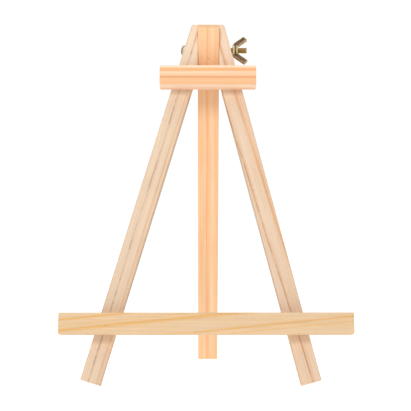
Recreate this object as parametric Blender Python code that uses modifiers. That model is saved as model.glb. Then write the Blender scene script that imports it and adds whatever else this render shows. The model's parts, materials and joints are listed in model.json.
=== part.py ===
"""Tabletop easel: a splayed front frame, and a back leg that folds on one bolt.

Two front legs carry an upper bar and a ledge. The back leg swings between their tops on a
bolt with a wing nut. Metres, +Z up, the front faces -Y, and +X is the viewer's right. The
origin is on the floor, under the middle of the whole easel's box.
"""

import math

import bmesh
import bpy
from mathutils import Matrix, Vector

# Stance of the front frame. Heights on the frame are measured up its own leaning plane.
FRAME_HEIGHT = 0.300
FRAME_LEAN = math.radians(12.6)
PIVOT_DROP = 0.0212  # bolt axis below the tops of the front legs

# Front legs. The splay is each leg's angle from upright, seen square to the frame.
LEG_WIDTH = 0.0164
LEG_THICKNESS = 0.0130
LEFT_SPLAY = math.radians(16.5)
RIGHT_SPLAY = math.radians(14.3)
LEFT_TOP_LAND = 0.0051  # width left at a leg's top, beside the back leg
RIGHT_TOP_LAND = 0.0044
TOP_CORNER_RADIUS = 0.0022

# Back leg
BACK_LEG_WIDTH = 0.0176
BACK_LEG_THICKNESS = 0.0130
BACK_LEG_LENGTH = 0.3130
BACK_LEG_TOP = 0.0212  # length above the bolt axis

# Cross bars, on the front faces of the front legs
BAR_WIDTH = 0.0168
BAR_THICKNESS = 0.0150
UPPER_BAR_LENGTH = 0.0804
UPPER_BAR_SHIFT = -0.0006  # middle of the bar, from the middle of the back leg
UPPER_BAR_DROP = 0.0416  # top edge below the tops of the front legs
LEDGE_LENGTH = 0.2352
LEDGE_SHIFT = -0.0022
LEDGE_RISE = 0.0412  # lower edge above the floor

# Softened long edges of every strip
ARRIS = 0.0008
ARRIS_SEGMENTS = 3

# Bolt, with a slotted round head at the left
BOLT_RADIUS = 0.0025
BOLT_STUB = 0.0076  # bare thread past the nut
BOLT_POINT = 0.0006  # chamfer at the end
HEAD_RADIUS = 0.0043
HEAD_RIM = 0.0019  # height of the head's straight side
HEAD_CROWN = 0.0014  # height of its dome above that
HEAD_SINK = 0.0012  # how far its underside lies within the leg's outer face
SLOT_WIDTH = 0.0011
SLOT_DEPTH = 0.0013

# Wing nut
HUB_BASE_RADIUS = 0.0055
HUB_TOP_RADIUS = 0.0039
HUB_LENGTH = 0.0045
HUB_EDGE = 0.0004
WING_SPLAY = math.radians(43.0)  # from the bolt axis
WING_REACH = 0.0142  # axis to the farthest corner
WING_WIDTH = 0.0042
WING_THICKNESS = 0.0032
WING_EDGE = 0.0005
WING_ROOT = 0.0006  # how deep a wing starts in the hub's wall
NUT_TURN = math.radians(-20.0)  # about the bolt, the lower wing forwards

# Countersunk wood screws, driven from behind
SCREW_RADIUS = 0.0015
SCREW_LENGTH = 0.0200
SCREW_POINT = 0.0035
SCREW_HEAD_RADIUS = 0.0030
SCREW_HEAD_LIP = 0.0004
SCREW_SINK = 0.0005  # head below the back face of the leg
DRIVE_WIDTH = 0.0009
DRIVE_LENGTH = 0.0036
DRIVE_DEPTH = 0.0012

# Clearances
GAP = 0.0003  # between faces that touch
BOLT_PLAY = 0.0003  # round the bolt
OVERRUN = 0.002  # how far a cutter runs past what it cuts

ROUND_STEPS = 32
DOME_STEPS = 6
CORNER_CUTS = 4

# Heights up the frame's plane, and the pivot's height above the floor
FRAME_TOP = (FRAME_HEIGHT - LEG_THICKNESS / 2 * math.sin(FRAME_LEAN)) / math.cos(FRAME_LEAN)
PIVOT_RISE = FRAME_TOP - PIVOT_DROP
UPPER_BAR_RISE = FRAME_TOP - UPPER_BAR_DROP - BAR_WIDTH
BAR_DEPTH = LEG_THICKNESS / 2 + GAP + BAR_THICKNESS / 2
SLEEVE = BACK_LEG_WIDTH / 2 + GAP  # middle plane to a front leg's inner face


# Materials ---------------------------------------------------------------------------------


def finish(name, colour, roughness, metallic=0.0):
    """A Principled material of one colour."""
    material = bpy.data.materials.new(name)
    material.use_nodes = True
    shader = material.node_tree.nodes["Principled BSDF"]
    shader.inputs["Base Color"].default_value = (*colour, 1.0)
    shader.inputs["Roughness"].default_value = roughness
    shader.inputs["Metallic"].default_value = metallic
    return material


# Making and placing objects ------------------------------------------------------------------


def new_collection(name):
    collection = bpy.data.collections.new(name)
    bpy.context.scene.collection.children.link(collection)
    return collection


def new_empty(name, parent=None):
    empty = bpy.data.objects.new(name, None)
    empty.empty_display_size = 0.02
    empty.parent = parent
    PARTS.objects.link(empty)
    return empty


def add_object(name, shape, parent, material=None):
    """A part made from a bmesh or a mesh. With no material it is a cutter."""
    if isinstance(shape, bmesh.types.BMesh):
        mesh = bpy.data.meshes.new(name)
        shape.to_mesh(mesh)
        shape.free()
    else:
        mesh = shape
    obj = bpy.data.objects.new(name, mesh)
    obj.parent = parent
    if material:
        mesh.materials.append(material)
        PARTS.objects.link(obj)
    else:
        obj.hide_render = True
        obj.display_type = "WIRE"
        CUTTERS.objects.link(obj)
    return obj


def smooth_round(mesh):
    """Shades the round faces smooth and leaves real corners sharp."""
    mesh.shade_smooth()
    mesh.set_sharp_from_angle(angle=math.radians(35))


def cut(obj, *cutters):
    """Takes the cutters out of an object."""
    for cutter in cutters:
        modifier = obj.modifiers.new(cutter.name, "BOOLEAN")
        modifier.operation = "DIFFERENCE"
        modifier.object = cutter


# Strips ----------------------------------------------------------------------------------------


def strip(width, thickness, low, high):
    """A strip along Z with softened long edges and square ends."""
    shape = bmesh.new()
    bmesh.ops.create_cube(shape, size=1.0)
    bmesh.ops.scale(shape, vec=(width, thickness, high - low), verts=shape.verts)
    bmesh.ops.translate(shape, vec=(0, 0, (low + high) / 2), verts=shape.verts)
    long_edges = [
        edge for edge in shape.edges if abs(edge.verts[0].co.z - edge.verts[1].co.z) > 1e-6
    ]
    bmesh.ops.bevel(
        shape,
        geom=long_edges,
        offset=ARRIS,
        segments=ARRIS_SEGMENTS,
        profile=0.5,
        affect="EDGES",
    )
    return shape


def saw(shape, point, outward):
    """Cuts a strip off at a plane and closes the cut."""
    bmesh.ops.bisect_plane(
        shape,
        geom=shape.verts[:] + shape.edges[:] + shape.faces[:],
        dist=1e-8,
        plane_co=point,
        plane_no=outward,
        clear_outer=True,
    )
    open_edges = [edge for edge in shape.edges if edge.is_boundary]
    bmesh.ops.holes_fill(shape, edges=open_edges, sides=0)
    bmesh.ops.recalc_face_normals(shape, faces=shape.faces[:])


def foot_depth(width, thickness, across, through):
    """How far a strip's rounded end reaches down from its centre.

    across and through are the downward parts of the strip's width and thickness axes.
    """
    flat = (width / 2 - ARRIS) * abs(across) + (thickness / 2 - ARRIS) * abs(through)
    return flat + ARRIS * math.hypot(across, through)


def leg_geometry(side, splay, land):
    """Where a front leg stands in the frame's plane.

    Gives its axis, its outward direction, its foot's centre and its outer top corner.
    """
    axis = Vector((-side * math.sin(splay), 0, math.cos(splay)))
    outward = Vector((side * math.cos(splay), 0, math.sin(splay)))
    top = Vector((side * (SLEEVE + land), 0, FRAME_TOP))
    drop = foot_depth(
        LEG_WIDTH,
        LEG_THICKNESS,
        math.sin(splay) * math.cos(FRAME_LEAN),
        math.sin(FRAME_LEAN),
    )
    foot_rise = drop / math.cos(FRAME_LEAN)
    centre_top = top - outward * LEG_WIDTH / 2
    foot = centre_top - axis * (centre_top.z - foot_rise) / axis.z
    return axis, outward, foot, top


def leg_middle(geometry, rise):
    """Where a leg's centre line passes a height on the frame."""
    axis, _, foot, _ = geometry
    return foot.x + axis.x * (rise - foot.z) / axis.z


def leg_outer_face(geometry, rise):
    """Where a leg's outer face passes a height on the frame."""
    axis, _, _, top = geometry
    return top.x + axis.x * (rise - top.z) / axis.z


def front_leg(name, side, splay, geometry, material):
    """A front leg, sawn level at the top and upright where it meets the back leg."""
    axis, outward, foot, top = geometry
    turn = Matrix.Rotation(-side * splay, 3, "Y")
    length = (top - foot).dot(axis) + OVERRUN

    def sawn(point, direction):
        saw(shape, turn.inverted() @ (point - foot), turn.inverted() @ direction)

    shape = strip(LEG_WIDTH, LEG_THICKNESS, 0, length)
    sawn(Vector((0, 0, FRAME_TOP)), Vector((0, 0, 1)))
    sawn(Vector((side * SLEEVE, 0, 0)), Vector((-side, 0, 0)))
    # The outer top corner is rounded by cuts that all touch one circle.
    corner = (math.pi / 2 - splay) / 2
    reach = TOP_CORNER_RADIUS / math.cos(corner)
    middle = Vector((side * math.sin(corner), 0, math.cos(corner)))
    centre = top - middle * reach
    for step in range(1, CORNER_CUTS):
        lean = side * 2 * corner * step / CORNER_CUTS
        direction = Vector((math.sin(lean), 0, math.cos(lean)))
        sawn(centre + direction * TOP_CORNER_RADIUS, direction)
    leg = add_object(name, shape, FRAME, material)
    leg.location = foot
    leg.rotation_euler = (0, -side * splay, 0)
    return leg


def cross_bar(name, length, shift, rise, material):
    """A bar across the front of the legs. rise is its lower edge's height on the frame."""
    bar = add_object(
        name, strip(BAR_WIDTH, BAR_THICKNESS, -length / 2, length / 2), FRAME, material
    )
    bar.location = (shift, -BAR_DEPTH, rise + BAR_WIDTH / 2)
    bar.rotation_euler = (0, math.pi / 2, 0)
    return bar


def back_leg_angle():
    """The back leg's angle from upright when its foot stands on the floor."""
    below = BACK_LEG_LENGTH - BACK_LEG_TOP
    half = BACK_LEG_THICKNESS / 2
    height = PIVOT_RISE * math.cos(FRAME_LEAN)
    return math.atan2(half, below) + math.acos(height / math.hypot(half, below))


def back_leg(material):
    """The back leg, with its origin on the bolt's axis."""
    shape = strip(
        BACK_LEG_WIDTH, BACK_LEG_THICKNESS, BACK_LEG_TOP - BACK_LEG_LENGTH, BACK_LEG_TOP
    )
    leg = add_object("back_leg", shape, EASEL, material)
    leg.location = (
        0,
        PIVOT_RISE * math.sin(FRAME_LEAN),
        PIVOT_RISE * math.cos(FRAME_LEAN),
    )
    leg.rotation_euler = (back_leg_angle(), 0, 0)
    return leg


# Turned pieces -----------------------------------------------------------------------------


def turned(name, profile, parent, material=None, closed=False):
    """A profile of (radius, height) points turned about Z, running down its outer side."""
    mesh = bpy.data.meshes.new(name)
    count = len(profile)
    edges = [(i, i + 1) for i in range(count - 1)]
    if closed:
        edges.append((count - 1, 0))
    mesh.from_pydata([(radius, 0, height) for radius, height in profile], edges, [])
    obj = add_object(name, mesh, parent, material)
    screw = obj.modifiers.new("Turn", "SCREW")
    screw.steps = ROUND_STEPS
    screw.render_steps = ROUND_STEPS
    screw.use_merge_vertices = True
    screw.merge_threshold = 0.00001
    return obj


def bolt_profile(length):
    """Round head above z = 0 and shank below it."""
    total = HEAD_RIM + HEAD_CROWN
    dome = [
        (
            HEAD_RADIUS * math.sin(math.pi / 2 * step / DOME_STEPS),
            HEAD_RIM + HEAD_CROWN * math.cos(math.pi / 2 * step / DOME_STEPS),
        )
        for step in range(1, DOME_STEPS + 1)
    ]
    return [
        (0, total),
        *dome,
        (HEAD_RADIUS, 0),
        (BOLT_RADIUS, 0),
        (BOLT_RADIUS, BOLT_POINT - length),
        (BOLT_RADIUS - BOLT_POINT, -length),
        (0, -length),
    ]


def pivot_bolt(seat, tip, material):
    """The bolt, from its head's seat at the left to its tip at the right."""
    bolt = turned("pivot_bolt", bolt_profile(tip - seat), FRAME, material)
    bolt.location = (seat, 0, PIVOT_RISE)
    bolt.rotation_euler = (0, -math.pi / 2, 0)
    slot = bmesh.new()
    bmesh.ops.create_cube(slot, size=1.0)
    height = SLOT_DEPTH + OVERRUN
    bmesh.ops.scale(
        slot, vec=(SLOT_WIDTH, 2 * (HEAD_RADIUS + OVERRUN), height), verts=slot.verts
    )
    bmesh.ops.translate(
        slot,
        vec=(0, 0, HEAD_RIM + HEAD_CROWN - SLOT_DEPTH + height / 2),
        verts=slot.verts,
    )
    cutter = add_object("slot_cutter", slot, bolt)
    cut(bolt, cutter)
    return bolt


def rod_cutter(name, radius, low, high):
    """A rod along X on the bolt's axis."""
    shape = bmesh.new()
    bmesh.ops.create_cone(
        shape,
        cap_ends=True,
        segments=ROUND_STEPS,
        radius1=radius,
        radius2=radius,
        depth=high - low,
    )
    cutter = add_object(name, shape, FRAME)
    cutter.location = ((low + high) / 2, 0, PIVOT_RISE)
    cutter.rotation_euler = (0, math.pi / 2, 0)
    return cutter


# Wing nut ------------------------------------------------------------------------------------


def hub_profile():
    """A ring round the bolt, base at z = 0, as a closed loop down its outer side."""
    bore = BOLT_RADIUS + GAP
    return [
        (bore, HUB_LENGTH),
        (HUB_TOP_RADIUS - HUB_EDGE, HUB_LENGTH),
        (HUB_TOP_RADIUS, HUB_LENGTH - HUB_EDGE),
        (HUB_BASE_RADIUS, HUB_EDGE),
        (HUB_BASE_RADIUS - HUB_EDGE, 0),
        (bore, 0),
    ]


def wing_outline():
    """One wing's outline as (radius, height) points, from the hub's wall to its square tip."""
    root = BOLT_RADIUS + GAP + WING_ROOT
    along = Vector((math.sin(WING_SPLAY), math.cos(WING_SPLAY)))
    across = Vector((-along.y, along.x))
    heel = Vector((HUB_BASE_RADIUS, HUB_EDGE))
    low_tip = heel + along * (WING_REACH - heel.x) / along.x
    high_tip = low_tip + across * WING_WIDTH
    return [
        Vector((root, HUB_EDGE)),
        heel,
        low_tip,
        high_tip,
        Vector((HUB_TOP_RADIUS, HUB_LENGTH - HUB_EDGE)),
        Vector((root, HUB_LENGTH - HUB_EDGE)),
    ]


def wing_mesh():
    """A wing as a flat plate in the XZ plane, from a filled curve with softened edges."""
    curve = bpy.data.curves.new("wing", "CURVE")
    curve.dimensions = "2D"
    curve.fill_mode = "BOTH"
    curve.extrude = WING_THICKNESS / 2
    points = wing_outline()
    spline = curve.splines.new("POLY")
    spline.points.add(len(points) - 1)
    for point, corner in zip(spline.points, points):
        point.co = (corner.x, corner.y, 0, 1)
    spline.use_cyclic_u = True
    source = bpy.data.objects.new("wing", curve)
    CUTTERS.objects.link(source)
    graph = bpy.context.evaluated_depsgraph_get()
    mesh = bpy.data.meshes.new_from_object(source.evaluated_get(graph))
    bpy.data.objects.remove(source)
    shape = bmesh.new()
    shape.from_mesh(mesh)
    bmesh.ops.remove_doubles(shape, verts=shape.verts, dist=1e-6)
    bmesh.ops.rotate(shape, matrix=Matrix.Rotation(math.pi / 2, 3, "X"), verts=shape.verts)
    bmesh.ops.recalc_face_normals(shape, faces=shape.faces[:])
    tip_edges = [
        edge
        for edge in shape.edges
        if min(vert.co.x for vert in edge.verts) > HUB_BASE_RADIUS - 1e-5
        and len(edge.link_faces) == 2
        and edge.calc_face_angle() > math.radians(30)
    ]
    bmesh.ops.bevel(
        shape, geom=tip_edges, offset=WING_EDGE, segments=2, profile=0.5, affect="EDGES"
    )
    shape.to_mesh(mesh)
    shape.free()
    return mesh


def wing_nut(base, material):
    """The wing nut, with its base at x = base and its origin on the bolt's axis."""
    nut = turned("wing_nut", hub_profile(), FRAME, material, closed=True)
    nut.location = (base, 0, PIVOT_RISE)
    nut.rotation_mode = "YXZ"
    nut.rotation_euler = (NUT_TURN, math.pi / 2, 0)
    mesh = wing_mesh()
    for number in range(2):
        wing = add_object(f"wing_{number + 1}", mesh, nut)
        wing.rotation_euler = (0, 0, math.pi * number)
        union = nut.modifiers.new(wing.name, "BOOLEAN")
        union.operation = "UNION"
        union.object = wing
    return nut


# Wood screws -------------------------------------------------------------------------------


def screw_profile(room):
    """A countersunk screw, head at the top, grown by room on every side."""
    radius = SCREW_RADIUS + room
    head = SCREW_HEAD_RADIUS + room
    cone = head - radius
    return [
        (0, room),
        (head, room),
        (head, -SCREW_HEAD_LIP),
        (radius, -SCREW_HEAD_LIP - cone),
        (radius, SCREW_POINT - SCREW_LENGTH),
        (0, -SCREW_LENGTH - room),
    ]


def wood_screw(name, across, rise, material):
    """A screw driven forwards from the back of a leg, with the cutter for its hole."""
    place = (across, LEG_THICKNESS / 2 - SCREW_SINK, rise)
    screw = turned(name, screw_profile(0.0), FRAME, material)
    screw.location = place
    screw.rotation_euler = (-math.pi / 2, 0, 0)
    for number in range(2):
        blade = bmesh.new()
        bmesh.ops.create_cube(blade, size=1.0)
        bmesh.ops.scale(
            blade, vec=(DRIVE_LENGTH, DRIVE_WIDTH, 2 * DRIVE_DEPTH), verts=blade.verts
        )
        drive = add_object(f"{name}_drive_{number + 1}", blade, screw)
        drive.rotation_euler = (0, 0, math.pi / 2 * number)
        cut(screw, drive)
    profile = screw_profile(GAP)
    profile[0] = (0, SCREW_SINK + OVERRUN)
    profile[1] = (SCREW_HEAD_RADIUS + GAP, SCREW_SINK + OVERRUN)
    hole = turned(f"{name}_hole", profile, FRAME)
    hole.location = place
    hole.rotation_euler = (-math.pi / 2, 0, 0)
    return hole


# The whole easel -----------------------------------------------------------------------------


def settle_on_origin():
    """Moves the easel so that the origin is under the middle of its box."""
    bpy.context.view_layer.update()
    graph = bpy.context.evaluated_depsgraph_get()
    low = Vector((math.inf,) * 3)
    high = Vector((-math.inf,) * 3)
    for obj in PARTS.objects:
        if obj.type != "MESH":
            continue
        evaluated = obj.evaluated_get(graph)
        for vertex in evaluated.data.vertices:
            point = evaluated.matrix_world @ vertex.co
            low = Vector(map(min, low, point))
            high = Vector(map(max, high, point))
    EASEL.location = (-(low.x + high.x) / 2, -(low.y + high.y) / 2, 0)
    bpy.context.view_layer.update()


for old in list(bpy.data.objects):
    bpy.data.objects.remove(old)

PARTS = new_collection("easel")
CUTTERS = new_collection("cutters")
EASEL = new_empty("easel_base")
FRAME = new_empty("front_frame", EASEL)
FRAME.rotation_euler = (-FRAME_LEAN, 0, 0)

LEFT = leg_geometry(-1, LEFT_SPLAY, LEFT_TOP_LAND)
RIGHT = leg_geometry(1, RIGHT_SPLAY, RIGHT_TOP_LAND)
HEAD_SEAT = leg_outer_face(LEFT, PIVOT_RISE) + HEAD_SINK
NUT_BASE = leg_outer_face(RIGHT, PIVOT_RISE - HUB_BASE_RADIUS) + GAP
BOLT_TIP = NUT_BASE + HUB_LENGTH + BOLT_STUB

pale_pine = finish("pale_pine", (0.80, 0.64, 0.44), 0.62)
peach_pine = finish("peach_pine", (0.90, 0.57, 0.32), 0.60)
orange_pine = finish("orange_pine", (0.91, 0.60, 0.36), 0.60)
striped_pine = finish("striped_pine", (0.84, 0.64, 0.40), 0.62)
yellow_zinc = finish("yellow_zinc", (0.56, 0.47, 0.28), 0.38, 1.0)
grey_zinc = finish("grey_zinc", (0.55, 0.50, 0.41), 0.42, 1.0)

left_leg = front_leg("left_leg", -1, LEFT_SPLAY, LEFT, pale_pine)
right_leg = front_leg("right_leg", 1, RIGHT_SPLAY, RIGHT, pale_pine)
third_leg = back_leg(peach_pine)
upper_bar = cross_bar("upper_bar", UPPER_BAR_LENGTH, UPPER_BAR_SHIFT, UPPER_BAR_RISE, orange_pine)
ledge = cross_bar("ledge", LEDGE_LENGTH, LEDGE_SHIFT, LEDGE_RISE, striped_pine)

bolt = pivot_bolt(HEAD_SEAT, BOLT_TIP, grey_zinc)
nut = wing_nut(NUT_BASE, yellow_zinc)
bolt_hole = rod_cutter(
    "bolt_hole",
    BOLT_RADIUS + BOLT_PLAY,
    leg_outer_face(LEFT, PIVOT_RISE) - HEAD_RADIUS,
    NUT_BASE + HUB_BASE_RADIUS,
)
head_pocket = rod_cutter(
    "head_pocket", HEAD_RADIUS + GAP, HEAD_SEAT - 3 * HEAD_RADIUS, HEAD_SEAT + GAP
)
cut(left_leg, bolt_hole, head_pocket)
cut(right_leg, bolt_hole)
cut(third_leg, bolt_hole)

for bar_name, bar, rise in (
    ("upper", upper_bar, UPPER_BAR_RISE + BAR_WIDTH / 2),
    ("ledge", ledge, LEDGE_RISE + BAR_WIDTH / 2),
):
    for side_name, leg, geometry in (("left", left_leg, LEFT), ("right", right_leg, RIGHT)):
        hole = wood_screw(
            f"{bar_name}_{side_name}_screw", leg_middle(geometry, rise), rise, yellow_zinc
        )
        cut(leg, hole)
        cut(bar, hole)

for piece in PARTS.objects:
    if piece.type == "MESH":
        smooth_round(piece.data)
settle_on_origin()
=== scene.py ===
"""Tabletop easel, dressed for a close look.

Five planed pine strips, a pivot bolt with a wing nut and four wood screws, all placed by the
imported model. Metres, +Z up, the front faces -Y and +X is the viewer's right.
"""

import json
import math

import bmesh
import bpy
from mathutils import Matrix, Vector


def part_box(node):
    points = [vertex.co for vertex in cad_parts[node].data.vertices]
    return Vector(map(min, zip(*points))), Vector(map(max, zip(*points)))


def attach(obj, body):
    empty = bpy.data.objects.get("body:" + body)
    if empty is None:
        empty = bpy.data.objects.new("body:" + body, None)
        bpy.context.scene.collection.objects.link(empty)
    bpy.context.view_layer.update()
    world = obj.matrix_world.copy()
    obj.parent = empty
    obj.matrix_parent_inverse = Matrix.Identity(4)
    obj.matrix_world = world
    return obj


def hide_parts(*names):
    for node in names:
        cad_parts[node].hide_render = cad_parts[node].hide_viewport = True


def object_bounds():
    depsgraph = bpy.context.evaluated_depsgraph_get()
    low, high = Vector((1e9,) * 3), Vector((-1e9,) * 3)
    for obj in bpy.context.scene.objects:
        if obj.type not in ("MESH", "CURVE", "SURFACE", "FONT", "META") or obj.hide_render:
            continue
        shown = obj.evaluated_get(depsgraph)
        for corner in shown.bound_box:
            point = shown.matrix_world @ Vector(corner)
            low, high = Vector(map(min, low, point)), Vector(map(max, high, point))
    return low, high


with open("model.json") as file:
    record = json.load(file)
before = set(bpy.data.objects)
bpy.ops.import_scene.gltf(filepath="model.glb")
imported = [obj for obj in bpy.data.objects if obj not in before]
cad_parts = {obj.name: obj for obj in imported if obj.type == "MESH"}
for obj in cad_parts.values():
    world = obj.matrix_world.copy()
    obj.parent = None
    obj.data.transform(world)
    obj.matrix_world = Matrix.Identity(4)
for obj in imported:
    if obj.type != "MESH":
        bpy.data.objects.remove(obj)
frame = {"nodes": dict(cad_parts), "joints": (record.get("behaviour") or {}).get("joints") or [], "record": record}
CAD_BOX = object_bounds()
NODES = frame["nodes"]
RECORD = frame["record"]
MOUNTS = {mount["name"]: mount for mount in RECORD["mounts"]}
JOINTS = {joint["name"]: joint for joint in frame["joints"]}

# The leaning plane of the front frame, and the bolt's axis
UPWARD = Vector(MOUNTS["ledge_rest"]["axis"]).normalized()
FORWARD = Vector(MOUNTS["upper_bar_rest"]["axis"]).normalized()
RIGHTWARD = Vector((1.0, 0.0, 0.0))
PIVOT = Vector(JOINTS["back_leg_fold"]["pos_m"])

# Meshes
WELD = 1e-6  # points this near each other are one
COPLANAR = math.radians(0.6)  # faces this nearly level are one
CORNER = math.radians(38)  # edges sharper than this stay sharp

# Strips
EASED_EDGE = 0.00035
EASED_STEPS = 3
SNUG = 0.00025  # how far a strip is let out towards the one it touches
END_ZONE = 0.002  # corners this near a strip's low end give its width and thickness
HOLE_ZONE = 0.0052  # edges this near the bolt's axis belong to drilled holes
SCREW_ZONE = 0.0040  # and this near a screw's

# Bolt
BOLT_RADIUS = 0.0025
BOLT_POINT = 0.0006
BOLT_PITCH = 0.0008
BOLT_GROOVE = 0.00042  # depth of its thread
BOLT_THREADED = 0.0200
HEAD_RADIUS = 0.0043
HEAD_RIM = 0.0019
HEAD_CROWN = 0.0014
HEAD_EDGE = 0.0004
HEAD_TILT = math.radians(12)  # the head settles on the leg's slanting face
DOME_ANGLES = range(6, 85, 6)  # degrees from the middle of the head's crown
SLOT_WIDTH = 0.0011
SLOT_DEPTH = 0.0013
SHANK_START = 0.0001  # the shank's first ring, just past the head's underside
SHANK_FLARE = 0.0002  # how much wider the shank is there
SHANK_EVEN = 0.0004  # where the flare ends

# Wing nut, as (radius, height above its base)
NUT_BORE = 0.0028
HUB_PROFILE = (
    (NUT_BORE, 0.0045),
    (0.0041, 0.0045),
    (0.0046, 0.0042),
    (0.0047, 0.0036),
    (0.0043, 0.0031),
    (0.0041, 0.0026),
    (0.0041, 0.0020),
    (0.0044, 0.0015),
    (0.0054, 0.0011),
    (0.0055, 0.0004),
    (0.0051, 0.0),
    (NUT_BORE, 0.0),
)
HUB_WAIST = (0.0018, 0.0029)  # heights between which the hub is painted dark, as painted shade and reflection in its waist
BORE_WALL = 0.0005  # and how far out from the bore that starts
WING_CORNERS = (
    # radius, height, rounding
    (0.0032, 0.0005, 0.0),
    (0.0058, 0.0005, 0.0012),
    (0.0070, 0.0011, 0.0018),
    (0.0145, 0.0096, 0.0004),
    (0.0113, 0.0127, 0.0004),
    (0.0047, 0.0052, 0.0012),
    (0.0032, 0.0041, 0.0),
)
WING_THICKNESS = 0.0032
WING_SECTION = (
    # inset from the outline, depth below the rim
    (0.0, 0.00055),
    (0.00008, 0.00016),
    (0.00026, 0.0),
    (0.00050, 0.0),
    (0.00068, 0.00014),
    (0.00080, 0.00062),
    (0.00096, 0.00070),
)
CORNER_STEPS = 6
WING_TIP = 0.85  # share of the wings' reach beyond which their tips lie

# Wood screws
SCREW_HEAD_RADIUS = 0.0030
SCREW_HEAD_LIP = 0.0004
SCREW_CORE = 0.0010
SCREW_RADIUS = 0.0015
SCREW_NECK = 0.0060  # plain length under the head
SCREW_POINT = 0.0045
SCREW_PITCH = 0.0013
SCREW_EDGE = 0.0001  # rounding of the head's edge, and the radius of the tip
DRIVE_WIDTH = 0.0009
DRIVE_LENGTH = 0.0036
DRIVE_DEPTH = 0.0012

# Threads
THREAD_ROWS = 10  # rings of points for each turn
THREAD_SLOPE = 2.3  # how steep the flanks are
THREAD_FLAT = 1.25  # how blunt the crest is
THREAD_GAP = 0.0002  # between the plain shank's last ring and the thread's first
ROUND_STEPS = 48

# Camera, in metres and degrees
CAMERA_PLACE = Vector((-0.0048, -0.9698, 0.1574))
CAMERA_HEADING = math.radians(-0.27)
CAMERA_PITCH = math.radians(-0.72)
CAMERA_LENS = 97.7
CAMERA_SENSOR = 36.0
CAMERA_NEAR = 0.05

# Studio
FLOOR_RADIUS = 6.0
FLOOR_SIDES = 64
FLOOR_DROP = 0.0001  # keeps the sheet from touching the feet
FLOOR_TONES = (0.86, 0.9)
FLOOR_SEEN = 0.75  # the floor's own glow as the camera sees it
FLOOR_GLOW = 0.42  # and as it lights the easel
ROOM_SEEN = 1.05
ROOM_GLOW = 0.44
LIGHTS = (
    # name, place, aim, size, power
    ("key", (-0.26, -1.24, 0.85), (0, 0, 0.17), 0.34, 7.0),
    ("overhead", (0, -0.3, 1.3), (0, 0, 0.15), 0.9, 3.5),
)

# Grain, with noise cells to the millimetre along, across and through a board
SLOW_SWAY_CELLS = (0.012, 0.05, 0.05)
QUICK_SWAY_CELLS = (0.07, 0.3, 0.3)
FIBRE_CELLS = (0.08, 3.2, 3.2)
STREAK_CELLS = (0.012, 0.9, 0.9)
FLECK_CELLS = (0.35, 4.5, 4.5)
PATCH_CELLS = (0.02, 0.16, 0.16)
DASH_CELLS = (0.05, 0.02, 0.02)
SLOW_SWAY = 5.0  # millimetres the rings wander over a board's length
QUICK_SWAY = 1.2  # and over a few centimetres
ARRIS_ROOM = (0.1, 1.1)  # millimetres from an edge where its painted highlight is full and gone
KNOT_STRETCH = 0.6  # a knot's width over its length

# How strongly each mark is laid over the wood's colour
PATCH_SHARE = 0.8
LATE_FADE = (0.55, 0.68)  # how far the fibre breaks up the latewood, and its least share
DASH_START = 0.28
DASH_END = 0.4
DASH_SHIFT = 0.3  # how much more of a dark line is lost when it is all dashes
LINE_LEAST = 0.35  # how much of a dark line shows between its dashes
STREAK_TONES = (0.955, 1.025)
FIBRE_TONES = (0.95, 1.035)
FLECK_SHARE = 0.3
KNOT_SHARE = 0.7
END_LATE = 0.5  # how much latewood a sawn end shows
END_SHARE = 0.6
# The eased edges are lightened towards the earlywood colour as a painted highlight.
ARRIS_HIGHLIGHT_SHARE = 0.3

# Wood's surface
WOOD_ROUGHNESS = 0.66
LATE_POLISH = -0.1  # latewood planes smoother
END_ROUGHNESS = 0.15
FIBRE_ROUGHNESS = 0.08
WOOD_GLOSS = 0.3
WOOD_RELIEF = 0.00012
WOOD_BUMP = 0.3
LATE_HEIGHT = 0.5
FLECK_HEIGHT = -0.8

# Zinc coat
FILM_SHIFT = (0.13, 0.07, 0.21)  # sets the pink blotches apart from the green ones
METAL_GRAIN_CELLS = 2600.0
DULL_ROUGHNESS = 0.16
GRAIN_ROUGHNESS = 0.06
METAL_RELIEF = 0.00005
METAL_BUMP = 0.2

MILLIMETRES = 1000.0


def paint(red, green, blue):
    """A colour from 0 to 255 steps, as the shaders take it."""

    def linear(step):
        share = step / 255
        if share <= 0.04045:
            return share / 12.92
        return ((share + 0.055) / 1.055) ** 2.4

    return (linear(red), linear(green), linear(blue), 1.0)


# Shader node helpers ---------------------------------------------------------------------


def place(tree, kind, inputs=None, **settings):
    """A node with its settings made. A socket given as an input is linked, a value is set."""
    made = tree.nodes.new(kind)
    for name, value in settings.items():
        setattr(made, name, value)
    for key, value in (inputs or {}).items():
        if isinstance(value, bpy.types.NodeSocket):
            tree.links.new(value, made.inputs[key])
        else:
            made.inputs[key].default_value = value
    return made


def maths(tree, operation, *values, clamp=False):
    made = place(
        tree, "ShaderNodeMath", dict(enumerate(values)), operation=operation, use_clamp=clamp
    )
    return made.outputs[0]


def dot(tree, first, second):
    made = place(tree, "ShaderNodeVectorMath", {0: first, 1: second}, operation="DOT_PRODUCT")
    return made.outputs["Value"]


def ramp_up(tree, value, start, end, low=0.0, high=1.0):
    """A smooth rise from low to high as value goes from start to end."""
    made = place(
        tree,
        "ShaderNodeMapRange",
        {"Value": value, "From Min": start, "From Max": end, "To Min": low, "To Max": high},
        interpolation_type="SMOOTHSTEP",
    )
    return made.outputs["Result"]


def blend(tree, share, first, second, mode="MIX"):
    made = place(
        tree,
        "ShaderNodeMix",
        {0: share, 6: first, 7: second},
        data_type="RGBA",
        blend_type=mode,
    )
    return made.outputs[2]


def clouds(tree, vector, scale, detail=2.0, roughness=0.5, distortion=0.0):
    """Noise from 0 to 1, mostly near the middle."""
    made = place(
        tree,
        "ShaderNodeTexNoise",
        {
            "Vector": vector,
            "Scale": scale,
            "Detail": detail,
            "Roughness": roughness,
            "Distortion": distortion,
        },
    )
    return made.outputs[0]


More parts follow.
